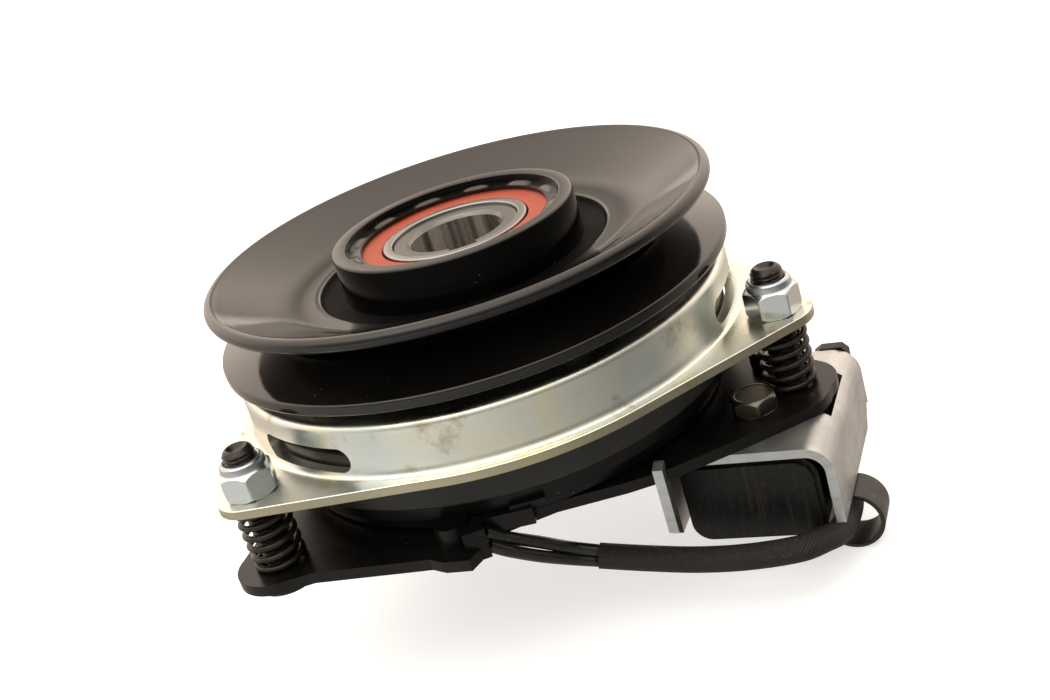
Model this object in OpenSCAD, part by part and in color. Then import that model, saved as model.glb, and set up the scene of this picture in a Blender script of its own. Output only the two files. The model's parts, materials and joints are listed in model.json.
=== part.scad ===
// Electromagnetic clutch and brake for a belt drive, with its pulley, brake plate on three
// adjusting studs, field coil, anti-rotation bracket and two-wire lead.
// Units are millimetres. +Z runs along the shaft from the field plate to the pulley.
// Z = 0 is the underside of the field plate, which is also the lower end of the bored hub.

/* [Pulley] */
// outside radius of the upper flange
pulley_r = 69.8; // [60:0.1:80]
// outside radius of the lower flange
lower_r = 70.4; // [60:0.1:80]
// height of the middle of the rolled upper rim
rim_z = 59.6; // [50:0.1:70]
// radius at the bottom of the belt groove
groove_r = 56; // [50:0.5:62]
// top of the flat web round the bearing housing
web_z = 51.8; // [48:0.1:54]
// top of the lower flange at its rim
low_z = 44.7; // [40:0.1:48]

/* [Bearing housing] */
// outside radius of the housing
boss_r = 33.5; // [30:0.1:38]
// top of the housing
boss_z = 62.4; // [58:0.1:68]
// inside radius of the open lip
lip_r = 29.7; // [28:0.1:32]

/* [Hub and bearings] */
// radius of the shaft bore (1 inch bore)
bore_r = 12.7; // [10:0.1:15]
// width of the keyway (1/4 inch key)
key_w = 6.35; // [4:0.05:8]
// distance from the axis to the keyway floor
key_r = 15.4; // [14:0.1:17]
// top face of the hub
hub_z = 58.4; // [50:0.1:62]
// inner radius of the ball bearings
brg_ri = 17.5; // [15:0.1:20]
// outer radius of the ball bearings
brg_ro = 27.5; // [25:0.1:30]
// outer radius of the inner rings
race_r = 20.15; // [19:0.05:21]
// height of the pulley bearing's lower face
brg_z = 39.2; // [36:0.1:42]
// width of the pulley bearing
brg_w = 20; // [14:0.5:24]
// number of balls in a row
balls = 16; // [8:1:18]

/* [Brake plate] */
// outside radius of the drawn cup
cup_r = 68.4; // [64:0.1:72]
// top of the cup
cup_z = 38; // [34:0.1:42]
// top face of the plate
plate_z = 23.7; // [20:0.1:28]
// sheet thickness
plate_t = 2.5; // [2:0.1:4]
// radius of the round middle of the plate
plate_r = 71.6; // [69:0.1:76]
// distance from the axis to the three studs
stud_pcr = 80.2; // [70:0.1:90]
// corner radius of an ear
ear_r = 9.6; // [7:0.1:14]

/* [Studs, springs, nuts] */
// stud radius
stud_r = 4.2; // [3:0.05:6]
// top of a stud
stud_z = 36.4; // [30:0.1:45]
// nut size across flats (1/2 inch)
nut_af = 12.7; // [10:0.1:16]
// mean radius of a spring
spring_r = 6.1; // [5:0.1:8]
// radius of the spring wire
wire_r = 0.85; // [0.6:0.05:1.5]
// turns in a spring
turns = 5; // [4:0.5:8]

/* [Field] */
// sheet thickness of the field plate
field_t = 3; // [2:0.1:5]
// radius of the ears of the field plate
fear_r = 11.8; // [9:0.1:14]
// outside radius of the field shell
shell_r = 60.3; // [55:0.1:62]
// outside radius of the rotor rim
rotor_r = 65.3; // [62:0.1:66]
// lower edge of the rotor rim
rotor_z0 = 11.9; // [10:0.1:16]
// friction face of the rotor
face_z = 28; // [24:0.1:32]

/* [Bracket] */
// radius of the inner leg's inner face
br_u0 = 49.4; // [45:0.1:55]
// radius of the outer leg's outer face
br_u1 = 93.9; // [90:0.1:98]
// front end of the channel
br_v0 = -30; // [-40:0.5:-20]
// rear end of the channel
br_v1 = 22; // [15:0.5:35]
// height of the legs
br_h = 22; // [15:0.5:30]
// sheet thickness of the bracket
br_t = 2.4; // [2:0.1:4]

/* [Lead] */
// radius of one wire
lead_r = 1.6; // [1:0.1:2.5]
// radius of the braided sleeve
sleeve_r = 3.3; // [2.5:0.1:5]

/* [Hidden] */
FN = 96;
ears = [210, 330, 90];
nut_twist = [30.5, 45.7, 12];
arm_z0 = 28.45;
arm_z1 = 33.05;
lining_z = 33.2;
web_t = 2.7;
arm_ro = 63.4;
arm_ri = 31;
pin_r = 42;
ball_r = 2.9;
ball_pr = (brg_ri + brg_ro) / 2;
fbrg_z = 2;
fbrg_w = 10;
block_v1 = 21;
bolt_u = 73;
bolt_v = 13;
steel = [0.72, 0.72, 0.70];
zinc = [0.80, 0.80, 0.74];
black = [0.12, 0.12, 0.12];
rubber = [0.09, 0.09, 0.09];

// ---- small helpers ------------------------------------------------------------------
module tube(ro, ri, z0, z1) {
  difference() {
    translate([0, 0, z0]) cylinder(r = ro, h = z1 - z0, $fn = FN);
    translate([0, 0, z0 - 1]) cylinder(r = ri, h = z1 - z0 + 2, $fn = FN);
  }
}
module rod(r, z0, z1) translate([0, 0, z0]) cylinder(r = r, h = z1 - z0, $fn = FN);
module spin(pts) rotate_extrude($fn = FN) polygon(pts);
module hexrod(af, z0, z1) translate([0, 0, z0]) cylinder(r = af / sqrt(3), h = z1 - z0, $fn = 6);
module at_ear(i) rotate([0, 0, ears[i]]) translate([stud_pcr, 0, 0]) children();
// bracket axes: x points away from the shaft at the right-hand ear, y runs along the channel
module br_frame() rotate([0, 0, -30]) children();
function arc(cx, cy, r, a0, a1, n) =
  [for (i = [0:n]) let (a = a0 + (a1 - a0) * i / n) [cx + r * cos(a), cy + r * sin(a)]];

// straight-sided web from a round middle of radius r0 to an ear of radius r1 at distance d
module web_outline(r0, r1, d) {
  th = acos((r0 - r1) / d);
  a0 = r0 - 0.06; a1 = r1 - 0.06;
  polygon([[a0 * cos(th), a0 * sin(th)], [0, 0], [a0 * cos(th), -a0 * sin(th)],
    [d + a1 * cos(th), -a1 * sin(th)], [d + a1 * cos(th), a1 * sin(th)]]);
}
module ear_web(r0, r1, d, a, z0, z1)
  rotate([0, 0, a]) translate([0, 0, z0]) linear_extrude(z1 - z0) web_outline(r0, r1, d);

// curved slot through a wall or a disc, between two azimuths
module sector_slot(ro, ri, z0, z1, a0, a1) {
  rotate([0, 0, a0]) rotate_extrude(angle = a1 - a0, $fn = FN)
    polygon([[ri, z0], [ro, z0], [ro, z1], [ri, z1]]);
}

// tube swept along a list of points, with flat ends
function unit(v) = v / norm(v);
function tan_at(p, i) = unit(p[min(i + 1, len(p) - 1)] - p[max(i - 1, 0)]);
function side_of(t) = unit(cross(t, [-0.25, 0.35, 1]));
function ring_pts(p, i, r, n) = let (t = tan_at(p, i), s = side_of(t), u = cross(s, t))
  [for (k = [0:n - 1]) p[i] + r * (cos(360 * k / n) * s + sin(360 * k / n) * u)];
module sweep(p, r, n) {
  m = len(p);
  polyhedron(
    points = [for (i = [0:m - 1]) each ring_pts(p, i, r, n)],
    faces = concat([[for (k = [0:n - 1]) k]],
      [for (i = [0:m - 2]) for (k = [0:n - 1])
        [i * n + k, (i + 1) * n + k, (i + 1) * n + (k + 1) % n, i * n + (k + 1) % n]],
      [[for (k = [n - 1:-1:0]) (m - 1) * n + k]]));
}
// smooth curve through hand-placed route points
function catmull(a, b, c, d, t) = 0.5 * (2 * b + (c - a) * t
  + (2 * a - 5 * b + 4 * c - d) * t * t + (3 * b - a - 3 * c + d) * t * t * t);
function route(q, s) = [for (i = [0:len(q) - 2]) for (j = [0:s - 1])
  catmull(q[max(i - 1, 0)], q[i], q[i + 1], q[min(i + 2, len(q) - 1)], j / s),
  q[len(q) - 1]];

// ---- pulley -------------------------------------------------------------------------
// two pressed halves meet in a flat web and spread apart into the belt groove
module sheave_upper() color(black) spin(concat(
  [[boss_r, web_z], [boss_r, web_z - web_t], [groove_r - 4, web_z - web_t],
    [groove_r - 0.6, web_z + 0.7], [groove_r, web_z + 1.2], [67, rim_z - 2.3]],
  arc(pulley_r - 1.9, rim_z, 1.9, -75, 120, 9),
  [[65.2, rim_z + 0.8], [58, rim_z - 2.6], [50, rim_z - 6.1], [45, web_z + 0.3],
    [42, web_z]]));

module sheave_lower() color(black) spin([[boss_r, web_z - web_t],
  [boss_r, web_z - 2 * web_t], [groove_r - 1.5, web_z - 2 * web_t], [68.8, low_z - 3],
  [lower_r, low_z - 2.6], [lower_r, low_z - 0.4], [lower_r - 0.5, low_z + 0.1],
  [groove_r, web_z - 2.6], [groove_r - 4, web_z - web_t]]);

module bearing_housing() color(black) {
  spin([[brg_ro, brg_z], [24.6, brg_z], [24.6, brg_z - 1.6], [boss_r - 0.8, brg_z - 1.6],
    [boss_r, brg_z - 0.8], [boss_r, boss_z - 0.7], [boss_r - 0.7, boss_z],
    [lip_r + 0.5, boss_z], [lip_r, boss_z - 0.5], [lip_r, brg_z + brg_w + 0.2],
    [brg_ro, brg_z + brg_w + 0.2]]);
}

module bearing_retainer() color(black) {
  z = brg_z + brg_w + 0.2;
  tube(lip_r, 26.1, z, z + 0.9);
  for (i = [0:11]) rotate([0, 0, 30 * i + 8]) translate([27.8, 0, z + 0.5])
    cylinder(r1 = 1.8, r2 = 1.1, h = 1.5, $fn = 24);
}

module ring_groove(z) rotate_extrude($fn = FN) translate([ball_pr, z]) circle(r = ball_r + 0.3, $fn = 48);

module bearing_outer_ring() color(steel) difference() {
  spin([[24.6, brg_z], [brg_ro, brg_z], [brg_ro, brg_z + brg_w], [25.9, brg_z + brg_w],
    [25.9, brg_z + brg_w - 1.4], [24.6, brg_z + brg_w - 1.4]]);
  for (k = [6, 13]) ring_groove(brg_z + k);
}

module bearing_inner_ring() color(steel) difference() {
  spin([[brg_ri, brg_z], [race_r, brg_z], [race_r, brg_z + brg_w - 0.4],
    [race_r - 0.4, brg_z + brg_w], [brg_ri + 0.4, brg_z + brg_w],
    [brg_ri, brg_z + brg_w - 0.4]]);
  for (k = [6, 13]) ring_groove(brg_z + k);
}

module bearing_seal_upper() color([0.85, 0.25, 0.1])
  tube(25.85, race_r + 0.35, brg_z + brg_w - 1.3, brg_z + brg_w - 0.3);

module bearing_seal_lower() color([0.85, 0.25, 0.1])
  tube(24.55, race_r + 0.35, brg_z + 0.3, brg_z + 1.2);

module bearing_balls() color(steel)
  for (k = [6, 13]) for (i = [0:balls - 1]) rotate([0, 0, 360 * i / balls + k * 4])
    translate([ball_pr, 0, brg_z + k]) sphere(r = ball_r, $fn = 20);

module bearing_cage() color([0.75, 0.6, 0.25])
  for (k = [6, 13]) difference() {
    tube(ball_pr + 0.7, ball_pr - 0.7, brg_z + k - 3.3, brg_z + k + 3.3);
    for (i = [0:balls - 1]) rotate([0, 0, 360 * i / balls + k * 4])
      translate([ball_pr, 0, brg_z + k]) sphere(r = ball_r + 0.05, $fn = 20);
  }

// three flat return springs under the pulley web
module armature_springs() color(steel)
  for (a = [30, 150, 270]) rotate([0, 0, a]) difference() {
    union() {
      translate([pin_r - 5, -17, 44.4]) cube([10, 34, 0.8]);
      for (v = [-17, 17]) translate([pin_r, v, 44.4]) cylinder(r = 5, h = 0.8, $fn = FN);
      translate([pin_r, -17, 44.4]) cylinder(r = 4, h = 2, $fn = FN);
    }
    translate([pin_r, 17, 40]) cylinder(r = 2.5, h = 6, $fn = FN);
  }

// ---- armature -----------------------------------------------------------------------
module armature() color(steel) difference() {
  tube(arm_ro, arm_ri, arm_z0, arm_z1);
  for (i = [0:5]) sector_slot(48.6, 45.4, arm_z0 - 1, arm_z1 + 1, 60 * i + 5, 60 * i + 46);
}

module armature_pins() color(steel)
  for (a = [30, 150, 270]) rotate([0, 0, a]) translate([pin_r, 17, 0]) {
    rod(3.4, arm_z1, 44.3);
    rod(2.44, 44.3, 45.7);
    rod(3.9, 45.7, 46.3);
  }

// ---- rotor and hub ------------------------------------------------------------------
module rotor_hub() color(steel) difference() {
  spin([[bore_r, 0], [brg_ri - 0.6, 0], [brg_ri, 0.6], [brg_ri, 12],
    [20.8, 12], [21, 12.2], [21, brg_z], [brg_ri, brg_z], [brg_ri, hub_z - 0.6], [brg_ri - 0.6, hub_z],
    [bore_r + 0.9, hub_z], [bore_r, hub_z - 0.9]]);
  translate([-key_w / 2, -key_r, -1]) cube([key_w, key_r - bore_r + 4, hub_z + 2]);
}

module rotor() color([0.2, 0.2, 0.2]) difference() {
  spin([[21, face_z], [21, face_z - 4.6], [32.5, face_z - 4.6], [32.5, 14.6], [36.5, 14.6],
    [36.5, face_z - 4.6], [61.4, face_z - 4.6], [61.4, rotor_z0], [rotor_r - 0.4, rotor_z0],
    [rotor_r, rotor_z0 + 0.4], [rotor_r, face_z - 0.5], [rotor_r - 0.5, face_z]]);
  for (i = [0:5]) sector_slot(58.4, 55.4, face_z - 8, face_z + 1, 60 * i + 4, 60 * i + 52);
  for (i = [0:5]) sector_slot(43.4, 40.6, face_z - 8, face_z + 1, 60 * i + 34, 60 * i + 80);
}

// ---- brake --------------------------------------------------------------------------
module brake_plate() color(zinc) {
  zb = plate_z - plate_t;
  difference() {
    union() {
      rod(plate_r, zb, plate_z);
      for (i = [0:2]) {
        ear_web(plate_r, ear_r, stud_pcr, ears[i], zb, plate_z);
        at_ear(i) rod(ear_r, zb, plate_z);
      }
    }
    rod(66, zb - 1, plate_z + 1);
    for (i = [0:2]) at_ear(i) rod(stud_r + 0.4, zb - 1, plate_z + 1);
  }
}
// drawn cup wall of the same sheet, with a fillet at its foot and a rounded shoulder
module brake_cup() color(zinc) difference() {
  spin(concat([[66, plate_z], [70.4, plate_z], [69.3, plate_z + 0.5],
    [68.6, plate_z + 1.4], [cup_r, plate_z + 2.4]],
    arc(cup_r - 2.4, cup_z - 2.4, 2.4, 0, 90, 4),
    [[54, cup_z], [54, cup_z - 2.4], [66, cup_z - 2.4]]));
  // inspection slots for the air gap
  for (i = [0:2]) rotate([0, 0, ears[i]]) gap_slot();
}
module gap_slot() {
  zc = 28.5; hh = 3.3; a0 = -8; a1 = 20.5; da = 2.75;
  sector_slot(72, 62, zc - hh, zc + hh, a0 + da, a1 - da);
  for (a = [a0 + da, a1 - da]) rotate([0, 0, a]) translate([62, 0, zc]) rotate([0, 90, 0])
    cylinder(r = hh, h = 10, $fn = FN);
}

module brake_lining() color([0.3, 0.25, 0.2]) difference() {
  tube(64, 54.5, lining_z, cup_z - 2.4);
  for (i = [0:5]) rotate([0, 0, 60 * i]) translate([52, -1, lining_z - 1])
    cube([16, 2, 2]);
}

module locknut(i) color(steel) at_ear(i) rotate([0, 0, nut_twist[i] - ears[i]]) difference() {
  union() {
    intersection() {
      hexrod(nut_af, plate_z, plate_z + 7.4);
      spin([[0, plate_z], [nut_af / 2 - 0.1, plate_z], [nut_af / sqrt(3), plate_z + 0.8],
        [nut_af / sqrt(3), plate_z + 6.2], [nut_af / 2 - 0.3, plate_z + 7.4],
        [0, plate_z + 7.4]]);
    }
    spin([[0, plate_z + 7.3], [5.9, plate_z + 7.3], [5.9, plate_z + 8.9],
      [5.2, plate_z + 9.6], [0, plate_z + 9.6]]);
  }
  rod(stud_r + 0.06, plate_z - 1, plate_z + 12);
}

// ---- studs and springs --------------------------------------------------------------
module stud(i) color(black) at_ear(i) spin([[0, -3], [6.4, -3], [6.4, -0.8], [stud_r, -0.8],
  [stud_r, stud_z - 0.9], [stud_r - 0.9, stud_z], [stud_r - 1.3, stud_z],
  [stud_r - 2, stud_z - 0.4], [0, stud_z - 0.4]]);

module coil_spring(i) color(black) at_ear(i) {
  z0 = field_t + wire_r + 0.02;
  z1 = plate_z - plate_t - wire_r - 0.32;
  m = round(turns * 16) + 24;
  e = 0.75;
  sweep([for (k = [0:m]) let (a = 22.5 * k, w = a / 360, tot = m / 16)
    [spring_r * cos(a), spring_r * sin(a),
      w < e ? z0 + w * 0.3 : w > tot - e ? z1 - (tot - w) * 0.3
        : z0 + e * 0.3 + (z1 - z0 - 0.6 * e) * (w - e) / (tot - 2 * e)]], wire_r, 8);
}

// ---- field assembly -----------------------------------------------------------------
module field_outline() {
  circle(r = 57.5, $fn = FN);
  for (i = [0:2]) rotate([0, 0, ears[i]]) {
    translate([stud_pcr, 0]) circle(r = fear_r, $fn = FN);
    web_outline(57.5, fear_r, stud_pcr);
  }
  // fuller edge on the lead side, ending in the tab beside the lead
  polygon([[-74, -48], [-64, -51.6], [-33, -65.5], [-30, -69], [-24, -72], [-20, -68],
    [-18, -60.5], [0, -59], [9, -60.4], [18, -61.8], [30, -62.4], [44, -60.6], [54, -59.1],
    [62, -57.8], [68.8, -56.5], [72.3, -55], [75.2, -52], [78, -47.5], [76, -40],
    [50, -30], [0, -20], [-60, -22]]);
}
// open notch in the plate's edge for the prong of the bracket's inner leg
module prong_notch() br_frame() translate([52.5, -50]) square([3.2, 11.3]);
module field_plate() color(black) difference() {
  union() {
    linear_extrude(field_t) difference() {
      field_outline();
      prong_notch();
    }
    for (i = [0:2]) at_ear(i) translate([0, 0, -3]) cylinder(r1 = 7.8, r2 = 10.1, h = 4, $fn = FN);
  }
  rod(30.4, -1, field_t + 1);
  for (i = [0:2]) at_ear(i) {
    rod(stud_r, -5, field_t + 1);
    rod(6.4, -5, -0.8);
  }
  br_frame() for (s = [-1, 1]) translate([bolt_u, s * bolt_v, 0]) rod(3.25, -5, field_t + 1);
}

module field_shell() color(black) difference() {
  spin([[38, field_t], [shell_r - 0.8, field_t], [shell_r, field_t + 0.8],
    [shell_r, 7.7], [63, 7.7], [63, 11.0], [shell_r, 11.3], [shell_r, 22.4],
    [57.4, 22.4], [57.4, 5.6], [41, 5.6], [41, 22.4], [38, 22.4]]);
  rotate([0, 0, 257]) translate([56, -2.6, 4.5]) cube([10, 5.2, 3]);
}

module field_hub() color(steel) spin([[25.4, -1.4], [31.6, -1.4], [31.6, 0], [30.4, 0],
  [30.4, 13.4], [28.2, 13.4], [28.2, 13.1], [brg_ro, 13.1], [brg_ro, fbrg_z],
  [25.4, fbrg_z]]);

module coil_bobbin() color([0.16, 0.16, 0.17]) spin([[41.4, 5.8], [57, 5.8], [57, 7.2],
  [42.8, 7.2], [42.8, 20.4], [57, 20.4], [57, 21.8], [41.4, 21.8]]);

module coil_winding() color([0.72, 0.4, 0.2]) tube(56.2, 42.8, 7.2, 20.4);

module field_groove() ring_groove(fbrg_z + fbrg_w / 2);
module field_bearing_outer() color(steel) difference() {
  tube(brg_ro, 24.6, fbrg_z, fbrg_z + fbrg_w);
  field_groove();
}
module field_bearing_inner() color(steel) difference() {
  tube(race_r, brg_ri, fbrg_z, fbrg_z + fbrg_w);
  field_groove();
}
module field_bearing_balls() color(steel)
  for (i = [0:balls - 1]) rotate([0, 0, 360 * i / balls])
    translate([ball_pr, 0, fbrg_z + fbrg_w / 2]) sphere(r = ball_r, $fn = 20);
module field_bearing_cage() color([0.75, 0.6, 0.25]) difference() {
  tube(ball_pr + 0.7, ball_pr - 0.7, fbrg_z + 1.7, fbrg_z + fbrg_w - 1.7);
  for (i = [0:balls - 1]) rotate([0, 0, 360 * i / balls])
    translate([ball_pr, 0, fbrg_z + fbrg_w / 2]) sphere(r = ball_r + 0.05, $fn = 20);
}
module field_retaining_ring() color(black) difference() {
  tube(brg_ro, 25.2, 12.1, 13);
  rotate([0, 0, 80]) translate([20, -4, 10]) cube([12, 8, 5]);
}

module strain_relief() color(rubber) difference() {
  union() {
    rotate([0, 0, 257]) translate([shell_r + 0.1, -8, field_t]) cube([5.2, 17, 4.4]);
    translate([-25.5, -61, field_t]) rod(4.4, 0, 5.6);
    rotate([0, 0, 262]) translate([shell_r + 0.1, -2, field_t + 4.2]) cube([4.5, 9, 1.4]);
    translate([-24, -68.4, field_t + 0.1]) cube([5.6, 6, 4.6]);
    translate([-21.6, -68.4, -0.2]) cube([3.2, 4.6, 4]);
  }
  rod(shell_r + 0.05, -1, 20);
  rod(63.1, 7.6, 20);
  linear_extrude(field_t) field_outline();
}

// ---- anti-rotation bracket ----------------------------------------------------------
module bracket() color(zinc) br_frame() difference() {
  union() {
    translate([0, br_v1, 0]) rotate([90, 0, 0]) linear_extrude(br_v1 - br_v0) polygon(concat(
      [[br_u0, -br_h], [br_u0 + br_t, -br_h]],
      arc(br_u0 + br_t + 2, -br_t - 2, 2, 180, 90, 8),
      arc(br_u1 - 7, -7, 7 - br_t, 90, 0, 12),
      [[br_u1 - br_t, 0.5 - br_h], [br_u1, 0.5 - br_h]],
      arc(br_u1 - 7, -7, 7, 0, 90, 14),
      arc(br_u0 + 4.4, -4.4, 4.4, 90, 180, 10)));
    // the inner leg runs on forward, jogged outwards, and its end stands up as a prong
    translate([0, 0, -17.4]) linear_extrude(17.3) leg_plan();
    translate([52.8, br_v0 - 12, -4]) cube([2.6, 3, 9.4]);
  }
  // sloped top of the prong and rounded free corners
  translate([50, br_v0 - 12, 4.2]) rotate([25, 0, 0]) cube([8, 6, 4]);
  translate([50, br_v0 - 12, -13.9]) rotate([-35, 0, 0]) translate([0, -4, -8]) cube([8, 12, 8]);
  translate([br_u1 - 5, br_v1, 0.5 - br_h]) rotate([-45, 0, 0]) translate([0, -5, -5])
    cube([8, 10, 8]);
  // clearance for the ear's stud boss, with the window beyond it
  translate([stud_pcr, 0, 0]) rod(10.4, -5, 1);
  translate([83, -12, -5]) cube([8.4, 21.5, 7]);
  for (s = [-1, 1]) translate([bolt_u, s * bolt_v, 0]) rod(3.25, -5, 1);
}

module leg_plan() polygon([[br_u0, br_v0 + 1], [br_u0, br_v0 - 1.5], [52.8, br_v0 - 9.5],
  [52.8, br_v0 - 12], [55.4, br_v0 - 12], [55.4, br_v0 - 8.8], [br_u0 + br_t, br_v0 - 0.8],
  [br_u0 + br_t, br_v0 + 1]]);

module bumper_block() color(rubber) br_frame() {
  u0 = br_u0 + br_t + 2.4; u1 = br_u1 - br_t - 2.1; z0 = -25.4; z1 = -br_t - 0.1;
  difference() {
    union() {
      translate([0, block_v1, 0]) rotate([90, 0, 0]) linear_extrude(block_v1 - br_v0 - 1.2)
        polygon(block_outline(u0, u1, z0, z1, 0));
      // stepped front face
      translate([0, br_v0 + 1.2, 0]) rotate([90, 0, 0]) linear_extrude(1.2)
        polygon(block_outline(u0, u1, z0, z1, 1.2));
      // rear lip hooked up over the end of the web
      translate([u0 + 5, block_v1, z1 - 9]) cube([u1 - u0 - 10, 4.6, 9]);
      translate([0, br_v1 + 3.6, 0]) rotate([90, 0, 0]) linear_extrude(3.4)
        polygon([[82, z1 - 3], [91.2, z1 - 3], [91.2, -1.5], [89.6, 0.3], [84, 0.3], [82, -1]]);
    }
    for (s = [-1, 1]) translate([bolt_u, s * bolt_v, 0]) rod(7.4, -11, 0);
    // room for the stud head under the ear, and for the cable clip's loop
    translate([stud_pcr, 0, 0]) rod(10.3, -3.3, 1);
    translate([92.2, -5.2, -30.5]) rotate([90, 0, 0]) cylinder(r = 8.3, h = 11.6, $fn = 64);
  }
}
function block_outline(u0, u1, z0, z1, e) = concat(
  arc(u0 + 5, z0 + 5, 5 - e, 270, 180, 8), arc(u0 + 5, z1 - 5, 5 - e, 180, 90, 8),
  arc(u1 - 6, z1 - 6, 6 - e, 90, 0, 9), arc(u1 - 5, z0 + 5, 5 - e, 0, -90, 8));

module bracket_bolt(s) color([0.45, 0.43, 0.36]) br_frame() translate([bolt_u, s * bolt_v, 0]) {
  rod(3.2, -9.6, field_t);
  rod(5.9, field_t, field_t + 0.5);
  intersection() {
    rotate([0, 0, 22]) hexrod(11.1, field_t + 0.4, field_t + 4.6);
    spin([[0, field_t], [6.5, field_t], [6.5, field_t + 3.9], [5.4, field_t + 4.6],
      [0, field_t + 4.6]]);
  }
}
module bracket_nut(s) color(zinc) br_frame() translate([bolt_u, s * bolt_v, 0]) difference() {
  hexrod(11.1, -br_t - 5.4, -br_t);
  rod(3.2, -12, 0);
}

// ---- lead ---------------------------------------------------------------------------
lead_a = [[-18.4, -65.3, 5], [-14.4, -63.8, 1.2], [-6.4, -59.5, -6], [0.5, -55.7, -12.5],
  [7, -56, -15.9]];
lead_b = [[-18.4, -66.3, 1.8], [-14.2, -65.4, -2], [-7.5, -60.7, -9], [-0.4, -56.2, -15.4],
  [7, -56, -19.1]];
sleeve_p = [[7, -56, -17.5], [18.7, -60.4, -20.5], [30.2, -65.5, -22.5], [41.4, -71.3, -22.7],
  [52.8, -75, -22.8], [60.2, -72.6, -24.2], [65.2, -68.3, -26.5], [69.2, -62.6, -28],
  [74.1, -53.7, -28.8], [77, -42, -30.8], [76.5, -28, -33.4], [72, -12, -34.9],
  [66, 3, -35.2], [59, 17, -35.2], [51, 29, -35.2], [42, 38, -35.2]];
tail_a = [[40.8, 36.8, -35.2], [37.5, 39.6, -34.4], [34.5, 40.9, -31.8], [30.5, 41.4, -30.3]];
tail_b = [[43.2, 39.2, -35.2], [39.8, 43.6, -34.4], [36.2, 47, -31.8], [31.5, 48.5, -30.3]];

module lead_wire_a() color(black) sweep(route(lead_a, 3), lead_r, 8);
module lead_wire_b() color(black) sweep(route(lead_b, 3), lead_r, 8);
module lead_sleeve() color(black) sweep(route(sleeve_p, 2), sleeve_r, 10);
module tail_wire_a() color(black) sweep(route(tail_a, 2), lead_r, 8);
module tail_wire_b() color(black) sweep(route(tail_b, 2), lead_r, 8);

// looped strap that carries the sleeve under the outer leg, its ends held beside the block
module cable_clip() color(black) br_frame() {
  translate([0, -5.5, 0]) rotate([90, 0, 0]) linear_extrude(11) difference() {
    union() {
      translate([92.2, -30.5]) circle(r = 8, $fn = 64);
      translate([89.55, -25]) square([1.9, 15]);
    }
    translate([92.2, -30.5]) circle(r = 6.9, $fn = 64);
  }
}

// two-way connector; x runs from its wire end to its open end
module con_frame() translate([31, 45, -30.3]) rotate([0, 0, 172]) children();
module connector() color(rubber) con_frame() difference() {
  union() {
    translate([0, -8, -5.5]) cube([9, 16, 11]);
    translate([9, -9.5, -8.2]) cube([18, 19, 15.4]);
    for (k = [-1, 1]) translate([11, k * 9.5 - 0.8, -5]) cube([14, 1.6, 10]);
  }
  translate([13, -7.7, -6.4]) cube([20, 15.4, 11.8]);
}
module connector_lock() color([0.2, 0.2, 0.2]) con_frame() {
  translate([3, -3, 5.5]) cube([4, 6, 4]);
  translate([3, -3, 8.1]) cube([19, 6, 1.4]);
}
module connector_terminals() color([0.8, 0.7, 0.4]) con_frame()
  for (k = [-1, 1]) translate([13, 3.6 * k - 1.5, -0.4]) cube([11, 3, 0.8]);

// ---- assembly -----------------------------------------------------------------------
sheave_upper();
sheave_lower();
bearing_housing();
bearing_retainer();
bearing_outer_ring();
bearing_seal_upper();
bearing_seal_lower();
bearing_inner_ring();
bearing_balls();
bearing_cage();
armature_springs();
armature();
armature_pins();
rotor_hub();
rotor();
brake_plate();
brake_cup();
brake_lining();
locknut(0);  // locknut_left
locknut(1);  // locknut_right
locknut(2);  // locknut_rear
stud(0);  // stud_left
stud(1);  // stud_right
stud(2);  // stud_rear
coil_spring(0);  // spring_left
coil_spring(1);  // spring_right
coil_spring(2);  // spring_rear
field_plate();
field_shell();
field_hub();
coil_bobbin();
coil_winding();
field_bearing_outer();
field_bearing_inner();
field_bearing_balls();
field_bearing_cage();
field_retaining_ring();
strain_relief();
bracket();
bumper_block();
bracket_bolt(-1);  // bracket_bolt_front
bracket_bolt(1);  // bracket_bolt_rear
bracket_nut(-1);  // bracket_nut_front
bracket_nut(1);  // bracket_nut_rear
lead_wire_a();
lead_wire_b();
lead_sleeve();
tail_wire_a();
tail_wire_b();
cable_clip();
connector();
connector_lock();
connector_terminals();
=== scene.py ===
import json
import math
import bpy
import bmesh
from mathutils import Vector, Matrix

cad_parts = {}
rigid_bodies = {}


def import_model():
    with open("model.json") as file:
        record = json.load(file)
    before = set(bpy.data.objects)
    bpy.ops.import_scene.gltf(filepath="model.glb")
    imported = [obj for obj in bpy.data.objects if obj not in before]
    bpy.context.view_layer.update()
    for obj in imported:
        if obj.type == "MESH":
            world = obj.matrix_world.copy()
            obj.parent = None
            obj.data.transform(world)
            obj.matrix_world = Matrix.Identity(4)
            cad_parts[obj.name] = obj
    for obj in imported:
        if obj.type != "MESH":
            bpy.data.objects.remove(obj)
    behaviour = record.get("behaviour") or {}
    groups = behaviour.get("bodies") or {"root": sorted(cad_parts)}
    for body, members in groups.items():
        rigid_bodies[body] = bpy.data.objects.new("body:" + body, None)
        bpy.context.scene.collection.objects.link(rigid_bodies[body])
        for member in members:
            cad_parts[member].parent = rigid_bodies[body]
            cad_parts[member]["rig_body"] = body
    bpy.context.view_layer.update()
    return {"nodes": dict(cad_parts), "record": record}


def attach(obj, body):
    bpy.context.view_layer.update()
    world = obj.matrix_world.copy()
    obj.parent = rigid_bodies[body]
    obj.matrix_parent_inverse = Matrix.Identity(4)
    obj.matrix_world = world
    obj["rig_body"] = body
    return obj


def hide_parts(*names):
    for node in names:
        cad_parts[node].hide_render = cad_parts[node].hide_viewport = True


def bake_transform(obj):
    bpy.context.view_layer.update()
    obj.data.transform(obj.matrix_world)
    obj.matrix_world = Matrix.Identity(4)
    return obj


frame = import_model()
NODES = frame["nodes"]
MM = 0.001
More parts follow.
